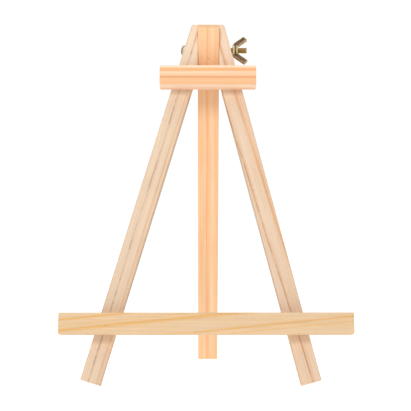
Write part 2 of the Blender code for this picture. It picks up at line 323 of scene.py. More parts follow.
def grain_noise(tree, board, cells, detail=2.0, roughness=0.5):
    """Noise drawn out along the grain, from board coordinates."""
    made = place(tree, "ShaderNodeVectorMath", {0: board, 1: cells}, operation="MULTIPLY")
    return clouds(tree, made.outputs[0], 1.0, detail, roughness)


def reach_of(tree, first, second):
    """The length of a line with two square parts."""
    squares = [maths(tree, "MULTIPLY", part, part) for part in (first, second)]
    return maths(tree, "SQRT", maths(tree, "ADD", *squares))


def new_group(name, inputs, outputs):
    """An empty node group. Gives its tree, its input sockets and its output node."""
    tree = bpy.data.node_groups.new(name, "ShaderNodeTree")
    for label, kind, value in inputs:
        socket = tree.interface.new_socket(label, in_out="INPUT", socket_type=kind)
        socket.default_value = value
    for label, kind in outputs:
        tree.interface.new_socket(label, in_out="OUTPUT", socket_type=kind)
    entry = tree.nodes.new("NodeGroupInput")
    leave = tree.nodes.new("NodeGroupOutput")
    return tree, entry.outputs, leave


def send(tree, leave, **values):
    for label, socket in values.items():
        tree.links.new(socket, leave.inputs[label.replace("_", " ")])


def use_group(tree, group, inputs):
    made = tree.nodes.new("ShaderNodeGroup")
    made.node_tree = group
    for label, value in inputs.items():
        if isinstance(value, bpy.types.NodeSocket):
            tree.links.new(value, made.inputs[label])
        else:
            made.inputs[label].default_value = value
    return made.outputs


NUMBER = "NodeSocketFloat"
VECTOR = "NodeSocketVector"
COLOUR = "NodeSocketColor"


# Wood groups ---------------------------------------------------------------------------------


def board_coordinates_group():
    """Position as millimetres along, across and through a board, from the middle of its end."""
    tree, given, leave = new_group(
        "board_coordinates",
        [
            ("Position", VECTOR, (0, 0, 0)),
            ("Origin", VECTOR, (0, 0, 0)),
            ("Along", VECTOR, (0, 0, 1)),
            ("Across", VECTOR, (1, 0, 0)),
            ("Through", VECTOR, (0, -1, 0)),
        ],
        [("Board", VECTOR)],
    )
    offset = place(
        tree,
        "ShaderNodeVectorMath",
        {0: given["Position"], 1: given["Origin"]},
        operation="SUBTRACT",
    ).outputs[0]
    parts = [
        maths(tree, "MULTIPLY", dot(tree, offset, given[axis]), MILLIMETRES)
        for axis in ("Along", "Across", "Through")
    ]
    board = place(tree, "ShaderNodeCombineXYZ", dict(enumerate(parts)))
    send(tree, leave, Board=board.outputs[0])
    return tree


def growth_rings_group():
    """How far out on the growth rings a point lies, in millimetres.

    The rings stand round a pith line outside the board, which drifts across the board as it
    runs along it. Depth is 0 at the middle of the board's front face.
    """
    tree, given, leave = new_group(
        "growth_rings",
        [
            ("Board", VECTOR, (0, 0, 0)),
            ("Pith Across", NUMBER, -40.0),
            ("Pith Through", NUMBER, -10.0),
            ("Drift Across", NUMBER, 0.0),
            ("Middle Radius", NUMBER, 40.0),
            ("Wobble", NUMBER, 0.6),
        ],
        [("Depth", NUMBER)],
    )
    parts = place(tree, "ShaderNodeSeparateXYZ", {0: given["Board"]}).outputs
    slow = grain_noise(tree, given["Board"], SLOW_SWAY_CELLS, 2.0, 0.55)
    quick = grain_noise(tree, given["Board"], QUICK_SWAY_CELLS, 2.0, 0.6)
    sway = maths(
        tree,
        "ADD",
        maths(tree, "MULTIPLY", maths(tree, "SUBTRACT", slow, 0.5), SLOW_SWAY),
        maths(tree, "MULTIPLY", maths(tree, "SUBTRACT", quick, 0.5), QUICK_SWAY),
    )
    sway = maths(tree, "MULTIPLY", sway, given["Wobble"])
    across = maths(
        tree,
        "SUBTRACT",
        maths(tree, "MULTIPLY_ADD", parts[0], given["Drift Across"], parts[1]),
        given["Pith Across"],
    )
    through = maths(tree, "SUBTRACT", parts[2], given["Pith Through"])
    depth = maths(tree, "SUBTRACT", reach_of(tree, across, through), given["Middle Radius"])
    send(tree, leave, Depth=maths(tree, "ADD", depth, sway))
    return tree


def wood_fibre_group():
    """Fine fibres, broader streaks and short dark flecks, all running with the grain."""
    tree, given, leave = new_group(
        "wood_fibre",
        [("Board", VECTOR, (0, 0, 0)), ("Seed", NUMBER, 0.0)],
        [("Fibre", NUMBER), ("Streaks", NUMBER), ("Flecks", NUMBER), ("Patches", NUMBER)],
    )
    shift = place(tree, "ShaderNodeCombineXYZ", {0: 0.0, 1: given["Seed"], 2: given["Seed"]})
    board = place(
        tree,
        "ShaderNodeVectorMath",
        {0: given["Board"], 1: shift.outputs[0]},
        operation="ADD",
    ).outputs[0]
    fibre = grain_noise(tree, board, FIBRE_CELLS, 4.0, 0.65)
    streaks = grain_noise(tree, board, STREAK_CELLS, 3.0, 0.6)
    flecks = grain_noise(tree, board, FLECK_CELLS, 1.0)
    patches = grain_noise(tree, board, PATCH_CELLS)
    send(
        tree,
        leave,
        Fibre=fibre,
        Streaks=ramp_up(tree, streaks, 0.32, 0.68),
        Flecks=ramp_up(tree, flecks, 0.66, 0.74),
        Patches=ramp_up(tree, patches, 0.3, 0.7),
    )
    return tree


def strip_edges_group():
    """Masks for a strip's softened long edges, which carry a painted highlight, and for its sawn ends."""
    tree, given, leave = new_group(
        "strip_edges",
        [
            ("Board", VECTOR, (0, 0, 0)),
            ("Normal", VECTOR, (0, 0, 1)),
            ("Along", VECTOR, (0, 0, 1)),
            ("Half Width", NUMBER, 8.2),
            ("Half Thickness", NUMBER, 6.5),
        ],
        [("Arris", NUMBER), ("End Grain", NUMBER)],
    )
    parts = place(tree, "ShaderNodeSeparateXYZ", {0: given["Board"]}).outputs

    def near_edge(part, half):
        room = maths(tree, "SUBTRACT", given[half], maths(tree, "ABSOLUTE", parts[part]))
        return ramp_up(tree, room, *ARRIS_ROOM, 1.0, 0.0)

    arris = maths(tree, "MULTIPLY", near_edge(1, "Half Width"), near_edge(2, "Half Thickness"))
    facing = maths(tree, "ABSOLUTE", dot(tree, given["Normal"], given["Along"]))
    send(tree, leave, Arris=arris, End_Grain=ramp_up(tree, facing, 0.35, 0.7))
    return tree


def pin_knot_group():
    """A small dark knot at a place on a board's front, drawn out a little along the grain."""
    tree, given, leave = new_group(
        "pin_knot",
        [
            ("Board", VECTOR, (0, 0, 0)),
            ("Place Along", NUMBER, 0.0),
            ("Place Across", NUMBER, 0.0),
            ("Radius", NUMBER, 0.6),
        ],
        [("Knot", NUMBER)],
    )
    parts = place(tree, "ShaderNodeSeparateXYZ", {0: given["Board"]}).outputs
    along = maths(tree, "SUBTRACT", parts[0], given["Place Along"])
    along = maths(tree, "MULTIPLY", along, KNOT_STRETCH)
    across = maths(tree, "SUBTRACT", parts[1], given["Place Across"])
    share = maths(tree, "DIVIDE", reach_of(tree, along, across), given["Radius"])
    send(tree, leave, Knot=ramp_up(tree, share, 0.5, 1.1, 1.0, 0.0))
    return tree


BOARD_COORDINATES = board_coordinates_group()
GROWTH_RINGS = growth_rings_group()
WOOD_FIBRE = wood_fibre_group()
STRIP_EDGES = strip_edges_group()
PIN_KNOT = pin_knot_group()


def grain_bands(tree, depth, bands):
    """Latewood and dark-line shares at each depth, between bands of (depth, latewood, line)."""
    low = bands[0][0]
    span = bands[-1][0] - low
    share = maths(tree, "DIVIDE", maths(tree, "SUBTRACT", depth, low), span)
    ramp = place(tree, "ShaderNodeValToRGB", {0: share})
    stops = ramp.color_ramp.elements
    for number, (at, late, line) in enumerate(bands):
        if number in (0, len(bands) - 1):
            stop = stops[0] if number == 0 else stops[-1]
        else:
            stop = stops.new((at - low) / span)
        stop.color = (late, line, 0, 1)
    return place(tree, "ShaderNodeSeparateColor", {0: ramp.outputs[0]}).outputs


def toned(tree, colour, value, darkest, lightest):
    """A colour made a little darker or lighter as value goes from low to high."""
    tone = ramp_up(tree, value, 0.2, 0.8, darkest, lightest)
    grey = place(tree, "ShaderNodeCombineColor", {0: tone, 1: tone, 2: tone}).outputs[0]
    return blend(tree, 1.0, colour, grey, "MULTIPLY")


def wood_colour(tree, here, band, fibre, edges, tones, knots, broken, painted_light_stretch):
    """Pine's colour: its two woods, the dark lines, streaks, flecks, knots and sawn ends, with painted light on a
    leg's upper stretch and a painted highlight along the eased edges.
    """
    early, late, dark, patch = tones
    colour = blend(tree, maths(tree, "MULTIPLY", fibre["Patches"], PATCH_SHARE), early, patch)
    # Painted light: a paler stretch towards a leg's upper end, standing in for the stronger light falling there.
    if painted_light_stretch:
        begins, full, painted_light_colour = painted_light_stretch
        along = place(tree, "ShaderNodeSeparateXYZ", {0: here}).outputs[0]
        colour = blend(tree, ramp_up(tree, along, begins, full), colour, painted_light_colour)
    fading = maths(tree, "MULTIPLY_ADD", fibre["Fibre"], *LATE_FADE)
    late_share = maths(tree, "MULTIPLY", band["Red"], fading, clamp=True)
    colour = blend(tree, late_share, colour, late)
    dash = grain_noise(tree, here, DASH_CELLS, 4.0, 0.75)
    lost = DASH_SHIFT * broken
    shown = ramp_up(tree, dash, DASH_START + lost, DASH_END + lost, LINE_LEAST)
    colour = blend(tree, maths(tree, "MULTIPLY", band["Green"], shown), colour, dark)
    colour = toned(tree, colour, fibre["Streaks"], *STREAK_TONES)
    colour = toned(tree, colour, fibre["Fibre"], *FIBRE_TONES)
    colour = blend(tree, maths(tree, "MULTIPLY", fibre["Flecks"], FLECK_SHARE), colour, dark)
    for along, across, radius in knots:
        spot = {"Place Along": along, "Place Across": across, "Radius": radius}
        knot = use_group(tree, PIN_KNOT, {"Board": here, **spot})["Knot"]
        colour = blend(tree, maths(tree, "MULTIPLY", knot, KNOT_SHARE), colour, dark)
    end_tone = blend(tree, END_LATE, early, late)
    end_share = maths(tree, "MULTIPLY", edges["End Grain"], END_SHARE)
    colour = blend(tree, end_share, colour, end_tone)
    # Painted highlight: the eased edges lightened towards the earlywood colour.
    return blend(tree, maths(tree, "MULTIPLY", edges["Arris"], ARRIS_HIGHLIGHT_SHARE), colour, early)


def pine(name, board, rings, bands, tones, seed, knots=(), broken=0.4, painted_light_stretch=None):
    """Planed, unfinished pine for one board.

    tones holds the earlywood, latewood, dark-line and patch colours. broken is how far the
    dark line falls apart into dashes. The last argument gives where a paler stretch begins and
    is full along the board, and its colour; that stretch is painted light, standing in for the
    stronger light on the legs' upper ends.
    """
    material = bpy.data.materials.new(name)
    material.use_nodes = True
    tree = material.node_tree
    shader = tree.nodes["Principled BSDF"]
    source = place(tree, "ShaderNodeTexCoord").outputs
    frame_of_board = {
        "Position": source["Object"],
        "Origin": board["origin"],
        "Along": board["along"],
        "Across": board["across"],
        "Through": board["through"],
    }
    here = use_group(tree, BOARD_COORDINATES, frame_of_board)["Board"]
    front = board["half_thickness"] * MILLIMETRES
    middle = math.hypot(rings["Pith Across"], front - rings["Pith Through"])
    grain = use_group(tree, GROWTH_RINGS, {"Board": here, "Middle Radius": middle, **rings})
    band = grain_bands(tree, grain["Depth"], bands)
    fibre = use_group(tree, WOOD_FIBRE, {"Board": here, "Seed": seed})
    outside = {
        "Board": here,
        "Normal": source["Normal"],
        "Along": board["along"],
        "Half Width": board["half_width"] * MILLIMETRES,
        "Half Thickness": front,
    }
    edges = use_group(tree, STRIP_EDGES, outside)
    colour = wood_colour(tree, here, band, fibre, edges, tones, knots, broken, painted_light_stretch)
    tree.links.new(colour, shader.inputs["Base Color"])
    rough = maths(tree, "MULTIPLY_ADD", band["Red"], LATE_POLISH, WOOD_ROUGHNESS)
    rough = maths(tree, "MULTIPLY_ADD", edges["End Grain"], END_ROUGHNESS, rough)
    rough = maths(tree, "MULTIPLY_ADD", fibre["Fibre"], FIBRE_ROUGHNESS, rough)
    tree.links.new(rough, shader.inputs["Roughness"])
    shader.inputs["Specular IOR Level"].default_value = WOOD_GLOSS
    height = maths(tree, "MULTIPLY_ADD", band["Red"], LATE_HEIGHT, fibre["Fibre"])
    height = maths(tree, "MULTIPLY_ADD", fibre["Flecks"], FLECK_HEIGHT, height)
    relief = {"Height": height, "Strength": WOOD_BUMP, "Distance": WOOD_RELIEF}
    bump = place(tree, "ShaderNodeBump", relief)
    tree.links.new(bump.outputs[0], shader.inputs["Normal"])
    return material


# Metal ---------------------------------------------------------------------------------------


def passivated_group():
    """The drifting gold, green and pink of a yellow zinc coat, and its dull blotches."""
    tree, given, leave = new_group(
        "passivated_zinc",
        [
            ("Position", VECTOR, (0, 0, 0)),
            ("Gold", COLOUR, (0.7, 0.5, 0.2, 1)),
            ("Green", COLOUR, (0.3, 0.3, 0.12, 1)),
            ("Pink", COLOUR, (0.5, 0.25, 0.25, 1)),
            ("Scale", NUMBER, 260.0),
        ],
        [("Color", COLOUR), ("Dullness", NUMBER), ("Grain", NUMBER)],
    )
    film = clouds(tree, given["Position"], given["Scale"], 3.0, 0.55, 0.6)
    elsewhere = place(
        tree,
        "ShaderNodeVectorMath",
        {0: given["Position"], 1: FILM_SHIFT},
        operation="ADD",
    ).outputs[0]
    second = clouds(tree, elsewhere, given["Scale"], 3.0, 0.55, 0.6)
    grain = clouds(tree, given["Position"], METAL_GRAIN_CELLS, 2.0, 0.6)
    colour = blend(tree, ramp_up(tree, film, 0.42, 0.62), given["Gold"], given["Green"])
    colour = blend(tree, ramp_up(tree, second, 0.52, 0.68), colour, given["Pink"])
    send(
        tree,
        leave,
        Color=colour,
        Dullness=ramp_up(tree, second, 0.35, 0.65),
        Grain=grain,
    )
    return tree


PASSIVATED = passivated_group()


def zinc(name, gold, green, pink, roughness, metallic=1.0, scale=260.0):
    """Zinc-plated steel under a yellow passivation film."""
    material = bpy.data.materials.new(name)
    material.use_nodes = True
    tree = material.node_tree
    shader = tree.nodes["Principled BSDF"]
    source = place(tree, "ShaderNodeTexCoord").outputs
    coat = {
        "Position": source["Object"],
        "Gold": gold,
        "Green": green,
        "Pink": pink,
        "Scale": scale,
    }
    film = use_group(tree, PASSIVATED, coat)
    tree.links.new(film["Color"], shader.inputs["Base Color"])
    shader.inputs["Metallic"].default_value = metallic
    rough = maths(tree, "MULTIPLY_ADD", film["Dullness"], DULL_ROUGHNESS, roughness)
    rough = maths(tree, "MULTIPLY_ADD", film["Grain"], GRAIN_ROUGHNESS, rough)
    tree.links.new(rough, shader.inputs["Roughness"])
    relief = {"Height": film["Grain"], "Strength": METAL_BUMP, "Distance": METAL_RELIEF}
    bump = place(tree, "ShaderNodeBump", relief)
    tree.links.new(bump.outputs[0], shader.inputs["Normal"])
    return material


# Strips --------------------------------------------------------------------------------------


def welded(node):
    """A CAD node's surface as one bmesh, its triangles joined into flat faces."""
    shape = bmesh.new()
    shape.from_mesh(NODES[node].data)
    bmesh.ops.remove_doubles(shape, verts=shape.verts, dist=WELD)
    bmesh.ops.dissolve_limit(
        shape, angle_limit=COPLANAR, verts=shape.verts[:], edges=shape.edges[:]
    )
    return shape


def new_piece(name, shape, body, materials, node):
    """A finished piece from a bmesh, riding on its body in place of its CAD node."""
    mesh = bpy.data.meshes.new(name)
    shape.to_mesh(mesh)
    shape.free()
    for material in materials:
        mesh.materials.append(material)
    mesh.shade_smooth()
    mesh.set_sharp_from_angle(angle=CORNER)
    piece = bpy.data.objects.new(name, mesh)
    bpy.context.scene.collection.objects.link(piece)
    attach(piece, body)
    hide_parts(node)
    return piece


def board_axes(node, upward, facing):
    """Where a board lies: origin at the middle of its end, and its three directions."""
    shape = welded(node)
    longest = max(shape.edges, key=lambda edge: edge.calc_length())
    along = (longest.verts[1].co - longest.verts[0].co).normalized()
    if along.dot(upward) < 0:
        along = -along
    through = (facing - along * facing.dot(along)).normalized()
    across = through.cross(along)
    if across.dot(UPWARD if upward is RIGHTWARD else RIGHTWARD) < 0:
        across = -across
    points = [vert.co.copy() for vert in shape.verts]
    shape.free()
    low = min(point.dot(along) for point in points)
    end = [point for point in points if point.dot(along) < low + END_ZONE]

    def middle_and_half(direction):
        reaches = [point.dot(direction) for point in end]
        return (max(reaches) + min(reaches)) / 2, (max(reaches) - min(reaches)) / 2

    middle_across, half_width = middle_and_half(across)
    middle_through, half_thickness = middle_and_half(through)
    return {
        "origin": along * low + across * middle_across + through * middle_through,
        "along": along,
        "across": across,
        "through": through,
        "half_width": half_width,
        "half_thickness": half_thickness,
    }


def box_middle(node):
    low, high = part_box(node)
    return (Vector(low) + Vector(high)) / 2


def in_a_hole(point):
    """Whether a point is on the wall or the mouth of a drilled hole."""
    from_pivot = point - PIVOT
    if math.hypot(from_pivot.y, from_pivot.z) < HOLE_ZONE:
        return True
    for middle in SCREW_MIDDLES:
        offset = point - middle
        if (offset - FORWARD * offset.dot(FORWARD)).length < SCREW_ZONE:
            return True
    return False


def let_out(shape, board, directions):
    """Moves a strip's faces out, so that no daylight shows between it and its neighbour."""
    for direction in directions:
        for vert in shape.verts:
            if (vert.co - board["origin"]).dot(direction) > 0:
                vert.co += direction * SNUG


def eased_board(name, node, body, board, directions, material):
    """A strip with its edges lightly eased by sandpaper. Drilled holes stay crisp."""
    shape = welded(node)
    let_out(shape, board, directions)
    eased = [
        edge
        for edge in shape.edges
        if len(edge.link_faces) == 2
        and edge.calc_face_angle() > CORNER
        and not all(in_a_hole(vert.co) for vert in edge.verts)
    ]
    bmesh.ops.bevel(
        shape,
        geom=eased,
        offset=EASED_EDGE,
        segments=EASED_STEPS,
        profile=0.5,
        affect="EDGES",
        clamp_overlap=False,
    )
    piece = new_piece(name, shape, body, [material], node)
    weighted = piece.modifiers.new("Flat faces", "WEIGHTED_NORMAL")
    weighted.keep_sharp = True


SCREWS = sorted(node for node in NODES if node.endswith("_screw"))
SCREW_MIDDLES = [box_middle(node) for node in SCREWS]

LEFT_LEG = board_axes("left_leg", UPWARD, FORWARD)
RIGHT_LEG = board_axes("right_leg", UPWARD, FORWARD)
BACK_LEG = board_axes("back_leg", UPWARD, FORWARD)
UPPER_BAR = board_axes("upper_bar", RIGHTWARD, FORWARD)
LEDGE = board_axes("ledge", RIGHTWARD, FORWARD)

BOARDS = (
    # node, body, slot, axes, faces let out, rings, bands, tones, seed, look
    (
        "left_leg",
        "front_frame",
        "front_leg_pine",
        LEFT_LEG,
        (),
        {"Pith Across": -60.0, "Pith Through": -8.0, "Wobble": 0.45},
        (
            (-12.0, 0.1, 0.0),
            (-5.0, 0.0, 0.0),
            (-2.2, 0.1, 0.0),
            (-1.5, 0.35, 0.65),
            (-0.9, 0.15, 0.2),
            (0.2, 0.0, 0.0),
            (4.2, 0.05, 0.0),
            (5.4, 0.85, 0.15),
            (6.2, 0.25, 0.0),
            (8.0, 0.3, 0.1),
            (12.0, 0.5, 0.2),
        ),
        (paint(230, 205, 179), paint(224, 180, 136), paint(152, 108, 82), paint(227, 199, 171)),
        3.0,
        # Painted light: the left leg turns paler from 255 mm up, for the stronger light on its upper end.
        {"broken": 0.55, "painted_light_stretch": (255.0, 300.0, paint(238, 216, 190))},
    ),
    (
        "right_leg",
        "front_frame",
        "front_leg_pine",
        RIGHT_LEG,
        (),
        {"Pith Across": -70.0, "Pith Through": -6.0, "Drift Across": 0.042, "Wobble": 0.3},
        (
            (-12.0, 0.35, 0.0),
            (-8.0, 0.2, 0.0),
            (-4.0, 0.0, 0.0),
            (0.2, 0.1, 0.0),
            (1.2, 0.5, 0.7),
            (1.9, 0.3, 0.1),
            (4.0, 0.0, 0.0),
            (10.4, 0.05, 0.0),
            (12.0, 1.0, 0.25),
            (13.0, 0.5, 0.05),
            (15.0, 0.1, 0.0),
            (22.0, 0.3, 0.0),
        ),
        (paint(231, 205, 179), paint(230, 175, 124), paint(172, 122, 92), paint(229, 197, 166)),
        11.0,
        # Painted light: the right leg turns paler from 255 mm up, for the stronger light on its upper end.
        {"broken": 0.4, "painted_light_stretch": (255.0, 290.0, paint(241, 219, 196))},
    ),
    (
        "back_leg",
        "back_leg",
        "back_leg_pine",
        BACK_LEG,
        (BACK_LEG["across"], -BACK_LEG["across"]),
        {"Pith Across": -46.0, "Pith Through": 6.0, "Drift Across": 0.0, "Wobble": 0.3},
        (
            (-12.0, 0.3, 0.0),
            (-8.0, 0.45, 0.0),
            (-4.0, 0.3, 0.0),
            (-1.8, 0.35, 0.0),
            (-1.1, 0.8, 0.35),
            (-0.5, 0.75, 0.05),
            (1.5, 0.35, 0.0),
            (3.0, 0.0, 0.0),
            (4.6, 0.05, 0.0),
            (6.5, 0.4, 0.0),
            (9.0, 0.55, 0.0),
            (12.0, 0.3, 0.0),
        ),
        (paint(254, 216, 174), paint(249, 189, 137), paint(220, 144, 98), paint(253, 205, 157)),
        23.0,
        {"broken": 0.1, "knots": ((286.0, 0.2, 0.5), (276.0, 5.2, 0.4), (283.0, -3.4, 0.5))},
    ),
    (
        "upper_bar",
        "front_frame",
        "upper_bar_pine",
        UPPER_BAR,
        (-UPPER_BAR["through"],),
        {"Pith Across": -50.0, "Pith Through": -12.0, "Wobble": 0.16},
        (
            (-16.0, 0.3, 0.0),
            (-13.2, 0.1, 0.0),
            (-11.0, 0.35, 0.2),
            (-10.4, 0.1, 0.0),
            (-8.1, 0.05, 0.0),
            (-7.6, 0.85, 0.25),
            (-6.8, 0.9, 0.1),
            (-4.0, 0.78, 0.0),
            (-2.6, 0.85, 0.15),
            (-2.1, 0.95, 0.55),
            (-1.5, 0.95, 0.55),
            (-0.8, 0.7, 0.05),
            (0.2, 0.5, 0.05),
            (0.9, 0.45, 0.2),
            (1.5, 0.4, 0.0),
            (2.7, 0.42, 0.0),
            (3.2, 1.0, 0.15),
            (5.4, 1.0, 0.05),
            (6.0, 0.2, 0.0),
            (10.0, 0.0, 0.0),
        ),
        (paint(253, 226, 199), paint(248, 180, 122), paint(210, 142, 106), paint(250, 219, 187)),
        31.0,
        {"broken": 0.0},
    ),
    (
        "ledge",
        "front_frame",
        "ledge_pine",
        LEDGE,
        (-LEDGE["through"],),
        {"Pith Across": -80.0, "Pith Through": -13.5, "Drift Across": -0.1, "Wobble": 0.3},
        (
            (-40.0, 0.0, 0.0),
            (-22.4, 0.1, 0.0),
            (-21.0, 0.5, 0.0),
            (-19.8, 0.1, 0.0),
            (-18.4, 0.15, 0.0),
            (-17.4, 0.95, 0.1),
            (-16.4, 0.25, 0.0),
            (-14.4, 0.0, 0.0),
            (-8.2, 0.05, 0.0),
            (-6.4, 0.75, 0.0),
            (-5.4, 1.0, 0.1),
            (-4.4, 0.35, 0.0),
            (-3.3, 0.05, 0.0),
            (-2.5, 0.5, 0.0),
            (-1.7, 0.1, 0.0),
            (0.8, 0.1, 0.0),
            (1.7, 0.75, 0.0),
            (2.5, 1.0, 0.1),
            (3.4, 0.2, 0.0),
            (6.0, 0.05, 0.0),
            (10.0, 0.3, 0.0),
        ),
        (paint(230, 200, 164), paint(228, 176, 104), paint(190, 142, 90), paint(228, 194, 152)),
        47.0,
        {"broken": 0.2, "knots": ((38.3, -2.4, 0.6),)},
    ),
)

for node, body, slot, axes, directions, rings, bands, tones, seed, look in BOARDS:
    wood = pine(f"{node}_wood", axes, rings, bands, tones, seed, **look)
    eased_board(f"{node}_strip", node, body, axes, directions, wood)


# Bolt, nut and screws --------------------------------------------------------------------------


# Painted highlight: the hub's light gold coat stands in for the bright highlights on its shiny turned faces.
HUB_HIGHLIGHT_ZINC = zinc(
    "hub_highlight_zinc", paint(240, 226, 170), paint(206, 200, 132), paint(228, 186, 150), 0.3, 0.5, 420.0
)
RIM_ZINC = zinc(
    "rim_zinc", paint(206, 174, 132), paint(164, 152, 88), paint(196, 138, 124), 0.34, 0.8, 420.0
)
# Dark coat for the wings' sunk panels and the hub's waist. In the panels it is partly the film's own darker tone
# in its hollows and partly painted shade and reflection.
PANEL_SHADE_ZINC = zinc(
    "panel_shade_zinc", paint(118, 94, 80), paint(70, 68, 48), paint(156, 118, 122), 0.42, 0.9, 480.0
)
BOLT_ZINC = zinc(
    "bolt_zinc", paint(204, 172, 112), paint(166, 148, 90), paint(190, 142, 102), 0.36
)
HEAD_ZINC = zinc(
    "head_zinc", paint(208, 196, 170), paint(176, 168, 134), paint(190, 172, 148), 0.34
)
SCREW_ZINC = zinc(
    "screw_zinc", paint(216, 184, 112), paint(166, 152, 88), paint(190, 136, 110), 0.32
)


def axle_frame(start, axle, up):
    """A frame with its Z along an axle and its X as near to up as it can be."""
    side = axle.cross(up).normalized()
    level = side.cross(axle)
    turn = Matrix((level, side, axle)).transposed().to_4x4()
    return Matrix.Translation(start) @ turn


def wound(rows, closed=False):
    """Rings of points round Z, one for each (radius, height). A radius may vary with angle."""
    shape = bmesh.new()
    rings = []
    for radius, height in rows:
        ring = []
        for step in range(ROUND_STEPS):
            angle = 2 * math.pi * step / ROUND_STEPS
            reach = radius(angle) if callable(radius) else radius
            ring.append(shape.verts.new((reach * math.cos(angle), reach * math.sin(angle), height)))
        rings.append(ring)
    pairs = list(zip(rings, rings[1:]))
    if closed:
        pairs.append((rings[-1], rings[0]))
    for upper, lower in pairs:
        for step in range(ROUND_STEPS):
            ahead = (step + 1) % ROUND_STEPS
            shape.faces.new((upper[step], upper[ahead], lower[ahead], lower[step]))
    if not closed:
        shape.faces.new(rings[0])
        shape.faces.new(reversed(rings[-1]))
    bmesh.ops.recalc_face_normals(shape, faces=shape.faces[:])
    return shape


def thread_rows(start, end, core, crest, pitch):
    """Rows of a screw thread between two heights, running out over its first and last turn."""
    count = round(abs(end - start) / pitch * THREAD_ROWS)
    rows = []
    for number in range(count + 1):
        height = start + (end - start) * number / count
        share = min(1.0, abs(height - start) / pitch, abs(height - end) / pitch)

        def reach(angle, height=height, share=share):
            turn = (abs(height - start) / pitch + angle / (2 * math.pi)) % 1.0
            ridge = max(0.0, 1 - abs(turn - 0.5) * THREAD_SLOPE)
            full = core + (crest - core) * min(1.0, ridge * THREAD_FLAT)
            return crest + (full - crest) * share

        rows.append((reach, height))
    return rows


def combined(shape, others, operation, materials):
    """One shape with others joined to it or cut out of it."""

    def as_object(source):
        mesh = bpy.data.meshes.new("blank")
        source.to_mesh(mesh)
        source.free()
        for material in materials:
            mesh.materials.append(material)
        blank = bpy.data.objects.new("blank", mesh)
        bpy.context.scene.collection.objects.link(blank)
        return blank

    base = as_object(shape)
    tools = [as_object(other) for other in others]
    for tool in tools:
        modifier = base.modifiers.new("Shape", "BOOLEAN")
        modifier.operation = operation
        modifier.object = tool
    bpy.context.view_layer.update()
    result = bmesh.new()
    result.from_object(base, bpy.context.evaluated_depsgraph_get())
    for blank in (base, *tools):
        bpy.data.objects.remove(blank)
    bmesh.ops.remove_doubles(result, verts=result.verts, dist=WELD)
    return result


def block(size, middle):
    """A box cutter."""
    shape = bmesh.new()
    bmesh.ops.create_cube(shape, size=1.0)
    bmesh.ops.scale(shape, vec=size, verts=shape.verts)
    bmesh.ops.translate(shape, vec=middle, verts=shape.verts)
    return shape


def threaded_bolt():
    """The pivot bolt: a slotted round head, a plain shank and a cut thread up to its point.

    The head is tilted flat to the leg's slanting face, and lifted so that its lower edge still
    rests on its seat.
    """
    low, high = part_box("pivot_bolt")
    total = high[0] - low[0]
    crown = HEAD_RIM + HEAD_CROWN
    length = total - crown
    dome = [
        (
            (HEAD_RADIUS - HEAD_EDGE) * math.sin(math.radians(angle)),
            -HEAD_RIM - HEAD_CROWN * math.cos(math.radians(angle)),
        )
        for angle in DOME_ANGLES
    ]
    head_rows = [
        *dome,
        (HEAD_RADIUS - HEAD_EDGE / 2, -HEAD_RIM + HEAD_EDGE / 3),
        (HEAD_RADIUS, -HEAD_RIM + HEAD_EDGE),
        (HEAD_RADIUS, -HEAD_EDGE / 2),
        (HEAD_RADIUS - HEAD_EDGE / 2, 0),
    ]
    shank_rows = [
        (HEAD_RADIUS - HEAD_EDGE, SHANK_START),
        (BOLT_RADIUS + SHANK_FLARE, SHANK_START),
        (BOLT_RADIUS, SHANK_EVEN),
        (BOLT_RADIUS, length - BOLT_THREADED - THREAD_GAP),
    ]
    thread = thread_rows(
        length - BOLT_THREADED,
        length - BOLT_POINT,
        BOLT_RADIUS - BOLT_GROOVE,
        BOLT_RADIUS,
        BOLT_PITCH,
    )
    point_rows = [(BOLT_RADIUS - BOLT_POINT, length)]
    shape = wound(head_rows + shank_rows + thread + point_rows)
    slot = block((SLOT_WIDTH, 3 * HEAD_RADIUS, 2 * SLOT_DEPTH), (0, 0, -crown))
    materials = [BOLT_ZINC, HEAD_ZINC]
    shape = combined(shape, [slot], "DIFFERENCE", materials)
    tilt = Matrix.Rotation(-HEAD_TILT, 3, "Y")
    lift = Vector((0, 0, -HEAD_RADIUS * math.sin(HEAD_TILT)))
    underside = SHANK_START / 2
    for vert in shape.verts:
        if vert.co.z < underside:
            vert.co = tilt @ vert.co + lift
    for face in shape.faces:
        face.material_index = 1 if face.calc_center_median().z < underside else 0
    seat = Vector((low[0] + crown, PIVOT.y, PIVOT.z))
    shape.transform(axle_frame(seat, RIGHTWARD, UPWARD))
    new_piece("threaded_bolt", shape, "front_frame", materials, "pivot_bolt")


def rounded_outline(corners, inset):
    """Points round a shape of (x, y, rounding) corners, drawn in by inset on every side."""
    count = len(corners)
    flat = [Vector(corner[:2]) for corner in corners]
    sides = [(flat[(i + 1) % count] - flat[i]).normalized() for i in range(count)]
    inward = [Vector((-side.y, side.x)) for side in sides]
    points = []
    for number, (_, _, rounding) in enumerate(corners):
        before, after = inward[number - 1], inward[number]
        middle = (before + after).normalized()
        corner = flat[number] + middle * inset / middle.dot(after)
        if not rounding:
            points.append(corner)
            continue
        turn = sides[number - 1].angle_signed(sides[number])
        bend = 1 if sides[number - 1].cross(sides[number]) > 0 else -1
        radius = max(rounding - bend * inset, rounding / 5)
        centre = corner + middle * bend * radius / math.cos(turn / 2)
        for step in range(CORNER_STEPS + 1):
            share = step / CORNER_STEPS
            direction = before.lerp(after, share).normalized()
            points.append(centre - direction * bend * radius)
    return points


